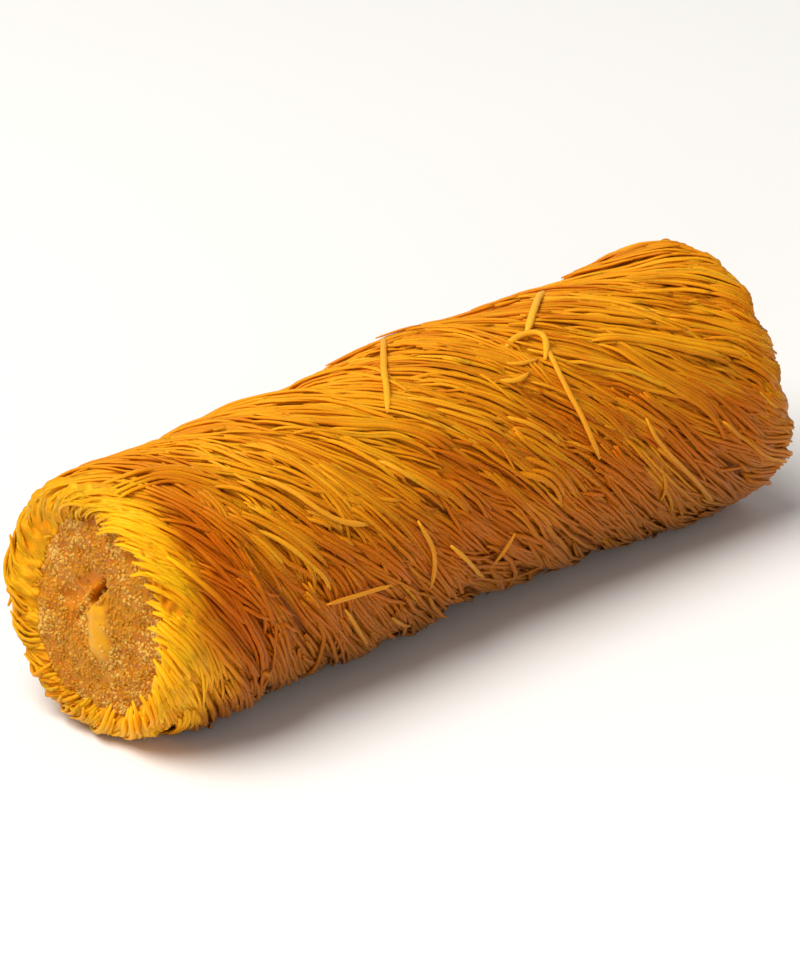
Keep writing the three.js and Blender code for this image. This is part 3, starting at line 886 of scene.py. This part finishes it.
def tracedLock(places, count, values):  # along a line through these places, with its corners rounded off
    places = np.array(places, float)
    shares = np.linspace(0, len(places) - 1, count)
    line = np.stack([np.interp(shares, np.arange(len(places)), column) for column in places.T], -1)
    for _ in range(3):
        line[1:-1] = (line[:-2] + line[1:-1] + line[2:]) / 3
    lock = {**values, "path": np.stack([wayAlong(line[:, 0]), line[:, 1]], -1)}
    return lock if len(places.T) < 3 else {**lock, "height": line[:, 2]}


shownLocks = [
    tracedLock(places, shown["points"], {**shown["every"], "strands": strands, "spread": spread, "lockTone": tone})
    for strands, spread, tone, places in shown["locks"]]
shownStrands = windStrands("shown_strands", shownLocks, {
    "Seed": 101, "Gathering": 0.3 * mm, "Ruffle": 0.3 * mm, "Swelling": 0.3 * mm, "Uneven ends": 0.3,
    "Wander": 0.5 * mm, "Segment": 0.8 * mm, "Pale tips": 0.12, "Highest": 0.25 * mm})
strayStrands = windStrands("stray_strands", strewnLocks(stray, 5, 230), {
    "Seed": 41, "Wander": 1.6 * mm, "Gathering": 0.3 * mm, "Segment": 0.9 * mm})

# strands folded over the rims, from the ring round the nuts to the side
rim = {
    "round": 360,  # degrees that they are shared out over
    "overlap": 0.8, "isTrimmed": True, "crown": 0.12,
    "farDrop": 0.1, "backDrop": 0.25, "backDive": 0.5,  # how much lower they lie at the far end and on the back side
    "ranges": {"turn": ("uniform", -3, 3), "length": ("uniform", 6, 14), "edge": ("uniform", -0.1, 1.6),
               "strands": ("integers", 4, 9), "spread": ("uniform", 0.34, 0.46),
               "height": ("uniform", -0.95, -0.5), "aslant": ("normal", 0, 5), "bend": ("normal", 0, 0.8),
               "fray": ("uniform", 0, 0.6), "rise": ("uniform", -0.7, -0.1), "lockTone": ("random",)},
    "wind": {"Uneven ends": 0.3, "Gathering": 0.55 * mm, "Segment": 0.85 * mm, "Strand width": 0.53 * mm,
             "Highest": -0.1 * mm, "Darkening": 0.4, "Hop": 0.2 * mm, "Unevenness": 0.09 * mm,
             "Roundness": 0.25 * mm},
}
# short curled bits of strand in the ring round the nuts at either end
curl = {
    "round": 0, "overlap": 0, "isTrimmed": False, "crown": 0.25, "farDrop": 0, "backDrop": 0, "backDive": 0,
    "ranges": {"turn": ("normal", 348, 62), "edge": ("uniform", 0, endLength + 1), "length": ("uniform", 1.6, 4.2),
               "height": ("uniform", -1.05, -0.65), "aslant": ("uniform", -60, 60), "bend": ("uniform", -20, 20),
               "rise": ("uniform", -1.0, -0.4), "lockTone": ("random",)},
    "wind": {"Wander": 1.0 * mm, "Gathering": 0.2 * mm, "Segment": 0.5 * mm, "Strand width": 0.5 * mm,
             "Darkening": 0.4, "Highest": -0.25 * mm},
}


def endLocks(kind, seed, number, isFar, changes={}):
    draw = np.random.default_rng(seed)
    locks = []
    for place in range(number):
        lock = drawn(draw, {**kind["ranges"], **changes})
        turn = kind["round"] * (place / number) + lock["turn"]
        edge = float(ringStart(turn, isFar)) + lock["edge"]
        back = 0 if isFar else onBackSide(turn)
        lock.update({
            "turn": turn, "firstWay": -4, "crown": kind["crown"],
            "way": wayLength - edge - lock["length"] * kind["overlap"] if isFar else edge,
            "height": lock["height"] - (kind["farDrop"] if isFar else kind["backDrop"] * back),
            "rise": lock["rise"] - kind["backDive"] * back,
        })
        if kind["isTrimmed"]:
            lock["lastWay"] = wayLength - edge if isFar else wayLength
        locks.append(lock)
    return locks


nearEndStrands = windStrands("near_end_strands", endLocks(rim, 6, 140, False), {**rim["wind"], "Seed": 51})
farEndStrands = windStrands("far_end_strands", endLocks(rim, 7, 200, True, {"strands": ("integers", 3, 7)}),
                            {**rim["wind"], "Seed": 61})
nearCurls = windStrands("near_end_curls", endLocks(curl, 8, 300, False), {**curl["wind"], "Seed": 71})
farCurls = windStrands("far_end_curls", endLocks(curl, 9, 320, True, {"turn": ("uniform", 0, 360)}),
                       {**curl["wind"], "Seed": 81})

# loose strands that lie on top, each by its places: along the roll, degrees round it, height over the crowns
loose = {
    "points": 14, "width": 0.8,
    "lines": [  # the first number of each is its width against the usual one
        (0.8, [(-7.9, 114, -.1), (-3, 90, 0), (3, 66, -.3)]),
        (1.0, [(24.2, 75, -.25), (19.5, 89, .05), (14.9, 102.5, 0)]),
        (0.8, [(10.6, 107, -.4), (12, 103.5, 0), (15, 102.5, .2), (16.3, 107, .3), (15.3, 113, .3),
               (13.8, 119, -.2)]),
        (0.9, [(15.6, 110, -.3), (14.4, 121, .1), (13.4, 133, .3), (13.5, 145, .5), (13.8, 155, .6),
               (14.5, 166, .5)]),
        (0.7, [(8.4, 113, -.4), (10.2, 117.5, 0), (13, 118, 0)]),
        (0.7, [(5.8, 120, -.4), (8.4, 124, 0), (10.8, 122, -.2)]),
        (0.6, [(22.3, 158, 0), (23.1, 170, .15), (33.5, 212, -.1)]),
        (0.7, [(-42, 136, -.1), (-39.5, 154, .1), (-36.3, 172, 0)]),
        (0.65, [(-26.8, 120, -.1), (-24.9, 129, 0), (-23.7, 138, .1), (-22, 147, .15), (-19.9, 152, .15),
                (-17.6, 155, 0)]),
        (0.7, [(-11.3, 161, .3), (-9.4, 178, .3), (-9.3, 195, -.1)]),
        (0.6, [(-7.1, 177, .1), (0, 207, -.1)]),
        (0.65, [(-24.6, 180, 0), (-20.2, 181.5, .3), (-15.8, 182.5, .2)]),
        (0.6, [(-22, 186, .1), (-16.4, 216, -.1)]),
        (0.6, [(-15.2, 199, .2), (-10, 217, -.1)]),
        (0.55, [(.4, 200, 0), (2.3, 184, .3)]),
        (1.2, [(-33.3, 198, 0), (-32.4, 201, .2), (-31.9, 199, 0)]),
    ],
}
looseLocks = [tracedLock(places, loose["points"], {"lockTone": 1.0, "lockWidth": width})
              for width, places in loose["lines"]]
looseStrands = windStrands("loose_strands", looseLocks, {
    "Seed": 91, "Strand width": loose["width"] * mm, "Wander": 0.3 * mm, "Gathering": 0.0, "Ruffle": 0.0,
    "Swelling": 0.0, "Hop": 0.1 * mm, "Unevenness": 0.0, "Uneven ends": 0.0, "Drift": 0.0,
    "Segment": 0.7 * mm, "Sides": 8, "Thickness": 0.8, "Breadth": 1.08,
    "Tip length": 1.5 * mm, "Tip width": 0.45, "Furrows": 0.0, "Highest": 1.0 * mm, "Material": palePaint})

# nut core
core = {
    "radius": 10.9, "rings": 64, "columns": 180, "faceDepth": 0.55, "edgeSink": 0.5,
    "overlap": 0.5, "margin": 0.1,  # how far it reaches under the pastry, and keeps its grains from it
    "seed": 21, "bumps": [(0.2, 7, 4, 9), (0.13, 16, 1.3, 3)], "lumpBumps": 0.8,
    # on the near face, from one place to another, [mm to the back, mm up] from the axis, half width and depth
    "crease": ((-0.5, 1.8), (-2.6, 4.5), 0.95, 2.4), "hollow": ((3.0, 1.0), (-0.6, 4.4), 2.4, 0.9),
    "lump": ((-1.9, 1.5), (-2.1, -2.2), 3.2, -1.1), "fold": ((-0.6, 2.0), (1.9, -1.0), 0.7, 0.6),
}


def markDepth(name, across, up):
    start, end, width, depth = core[name]
    line = np.array(end) - np.array(start)
    share = np.clip(((across - start[0]) * line[0] + (up - start[1]) * line[1]) / (line @ line), 0, 1)
    away = np.hypot(across - start[0] - share * line[0], up - start[1] - share * line[1])
    return depth * (1 - smooth(away / width))


def faceSink(side, across, up):
    share = np.clip(np.hypot(across, up) / openingReach(np.degrees(np.arctan2(up, across)), side > 0), 0, 1.15)
    draw = np.random.default_rng(core["seed"] + side)
    upTurn = up / middleRadius * 57.3  # in degrees, as waves take it
    bumps = sum(waves(draw, across, upTurn, kind) for kind in core["bumps"])
    marks = 0
    if side < 0:
        lump = markDepth("lump", across, up)
        marks = lump + sum(markDepth(name, across, up) for name in ("crease", "hollow", "fold"))
        bumps = bumps * (1 + core["lumpBumps"] * lump)
    return core["faceDepth"] + bumps + marks + core["edgeSink"] * share ** 6


def makeCore():
    columns, shares = core["columns"], (np.arange(core["rings"]) + 0.5) / core["rings"]
    angle = np.arange(columns) * 2 * math.pi / columns
    rings, isOpen = [], []
    for side, lobes in ((-1, "nearLobes"), (1, "farLobes")):
        reach = openingReach(np.degrees(angle), side > 0)
        radius = np.maximum(core["radius"], reach + core["overlap"])
        lobe = reachAt(rollForm[lobes], np.degrees(angle))
        face = []
        for share in shares:
            across, up = radius * share * np.cos(angle), radius * share * np.sin(angle)
            along = side * (half + lobe * smooth(share) - faceSink(side, across, up))
            face.append(np.stack([along, across, axisHeight + up], -1))
        rings += face[::-side]  # the near face from its middle outwards, then the far one inwards
        isOpen += [radius * share < reach - core["margin"] for share in shares][::-side]
    points = np.array(rings).reshape(-1, 3)
    faces = gridFaces(len(rings), columns)
    first, last = len(points), (len(rings) - 1) * columns
    for column in range(columns):
        after = (column + 1) % columns
        faces += [(column, after, first), (last + after, last + column, first + 1)]
    points = np.concatenate([points, [points[:columns].mean(0), points[-columns:].mean(0)]])
    piece = makePiece("nut_core", points, faces, material=pastePaint)
    near, across, up = points[:, 0] < 0, points[:, 1], points[:, 2] - axisHeight
    crease, hollow, lump = [markDepth(name, across, up) for name in ("crease", "hollow", "lump")]
    setPointValues(piece, "inCrease", near * smooth(crease / 1.4 + hollow * 0.9))
    # painted shade: the deepest part of the crease is marked for the dark colour
    setPointValues(piece, "inCreaseShade", near * smooth((crease - 0.8) / 1.0))
    setPointValues(piece, "onLump", near * smooth((-lump - 0.3) / 0.5))
    setPointValues(piece, "isOpen", np.concatenate([np.array(isOpen).ravel(), [1, 1]]).astype(float))
    piece.data.shade_smooth()
    return piece


nutCore = makeCore()
grainValues = {
    "Seed": 5, "Density": 9.0e6, "Least": 0.32 * mm, "Largest": 0.62 * mm,
    "Bare": 0.95,  # how far the crease and the lump are kept free of them
    "Outermost": -0.06 * mm, "Innermost": 0.14 * mm, "Dents": 1.4,
    "Material": grainPaint,
}


def grainsOnFaces(name, values):
    tree = GeometryTree(name, values)
    given, read, random = tree.given, tree.read, tree.random
    place = tree.add("GeometryNodeInputPosition")
    bare = tree.math("MAXIMUM", read("inCrease"), read("onLump"))
    isNear = tree.math("LESS_THAN", tree.parts(place)[0], 0.0)
    isShown = tree.math("GREATER_THAN", read("isOpen"), 0.5)
    points = tree.add("GeometryNodeDistributePointsOnFaces", {"distribute_method": "RANDOM"},
                      {"Mesh": given("Geometry"), "Selection": isShown,
                       "Density": given("Density") * (1 - given("Bare") * bare), "Seed": given("Seed")})
    inward = (isNear * 2 - 1) * random(given("Outermost"), given("Innermost"), 12)
    points = tree.add("GeometryNodeSetPosition", {}, {"Geometry": points, "Offset": tree.pack(inward, 0.0, 0.0)})
    ball = tree.add("GeometryNodeMeshUVSphere", {}, {"Segments": 5, "Rings": 3, "Radius": 0.5})
    dents = (tree.noise(place, 2.6, 1.0) - 0.5) * given("Dents")
    grain = tree.add("GeometryNodeSetPosition", {}, {"Geometry": ball, "Offset": tree.vector("SCALE", place, dents)})
    turn, shape = [tree.add("FunctionNodeRandomValue", {"data_type": "FLOAT_VECTOR"},
                            {"Min": least, "Max": most, "Seed": seed})
                   for least, most, seed in (((0, 0, 0), (6.28, 6.28, 6.28), 3),
                                             ((0.75, 0.75, 0.6), (1.3, 1.2, 1.0), 8))]
    size = random(0.0, 1.0, 5) ** 2 * (given("Largest") - given("Least")) + given("Least")
    grains = tree.add("GeometryNodeInstanceOnPoints", {}, {
        "Points": tree.store(points, "tone", random(0.0, 1.0, 9)), "Instance": grain,
        "Rotation": tree.add("FunctionNodeEulerToRotation", {}, {0: turn}),
        "Scale": tree.vector("MULTIPLY", shape, tree.pack(size, size, size))})
    tree.finish(grains, given("Material"))
    return tree


nutGrains = nutCore.copy()
nutGrains.data = nutCore.data.copy()
nutGrains.name = "nut_grains"
bpy.context.scene.collection.objects.link(nutGrains)
grainsOnFaces("nut_grains", grainValues).run(nutGrains, {})
tell(nutGrains)

# what rides and replaces
pastryPieces = [packedPastry, lowerStrands, upperStrands, overlayStrands, outerStrands, topStrands, shownStrands,
                strayStrands, nearEndStrands, farEndStrands, nearCurls, farCurls, looseStrands]
for piece in pastryPieces:
    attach(piece, "root")
for piece in (nutCore, nutGrains):
    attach(piece, "root")
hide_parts("pastry_wrap")
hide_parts("filling")

# floor, lights and camera
studio = {
    "floorReach": 3000, "room": 0.29,
    "floor": ((0.80, 0.80, 0.795), (0.83, 0.83, 0.825)),
    "key": {"from": (-0.47, 0.10, 0.90), "size": 0.85, "power": 14.0, "colour": (1, 0.965, 0.91)},
    "front_fill": {"from": (-0.65, -0.75, 0.35), "size": 0.5, "power": 1.6, "colour": (1, 0.98, 0.95)},
}


def makeFloor():
    paint, reach = Paint("pale floor", {"Roughness": 0.8}), studio["floorReach"]
    material = paint.finish(paint.blend(paint.patches(9, 3), *studio["floor"]))
    corners = [(-reach, -reach, 0), (reach, -reach, 0), (reach, reach, 0), (-reach, reach, 0)]
    makePiece("pale_floor", corners, [(0, 1, 2, 3)], material=material)


def addLamp(name):
    lamp = bpy.data.lights.new(name, "AREA")
    lamp.shape = "DISK"
    lamp.size, lamp.energy, lamp.color = [studio[name][key] for key in ("size", "power", "colour")]
    holder = bpy.data.objects.new(name, lamp)
    holder.location = studio[name]["from"]
    aim = Vector((0, 0, axisHeight * mm)) - holder.location
    holder.rotation_euler = aim.to_track_quat("-Z", "Y").to_euler()
    bpy.context.scene.collection.objects.link(holder)


makeFloor()
addLamp("key")
addLamp("front_fill")
world = bpy.data.worlds.new("pale_room")
world.use_nodes = True
world.node_tree.nodes["Background"].inputs["Color"].default_value = (1, 1, 1, 1)
world.node_tree.nodes["Background"].inputs["Strength"].default_value = studio["room"]
bpy.context.scene.world = world
bpy.context.scene.view_settings.view_transform = "Standard"

photoView = {"azimuth": -43.15, "elevation": 25.96, "distance": 700.0, "pixelsPerTangent": 6603.3,
             "targetRight": -0.42, "targetUp": -0.356, "longSide": 980, "filmWidth": 36}


def makeCamera():
    azimuth, elevation = math.radians(photoView["azimuth"]), math.radians(photoView["elevation"])
    back = Vector((math.sin(azimuth) * math.cos(elevation), -math.cos(azimuth) * math.cos(elevation),
                   math.sin(elevation)))
    right = Vector((math.cos(azimuth), math.sin(azimuth), 0))
    up = back.cross(right)
    target = Vector((0, 0, axisHeight)) + photoView["targetRight"] * right + photoView["targetUp"] * up
    lens = bpy.data.cameras.new("photo_camera")
    lens.sensor_width = photoView["filmWidth"]
    lens.lens = photoView["pixelsPerTangent"] * photoView["filmWidth"] / photoView["longSide"]
    lens.clip_start, lens.clip_end = 0.01, 50
    camera = bpy.data.objects.new("photo_camera", lens)
    camera.location = (target + back * photoView["distance"]) * mm
    camera.rotation_euler = (-back).to_track_quat("-Z", "Y").to_euler()
    bpy.context.scene.collection.objects.link(camera)
    bpy.context.scene.camera = camera


makeCamera()
print("lights, floor and camera are set")
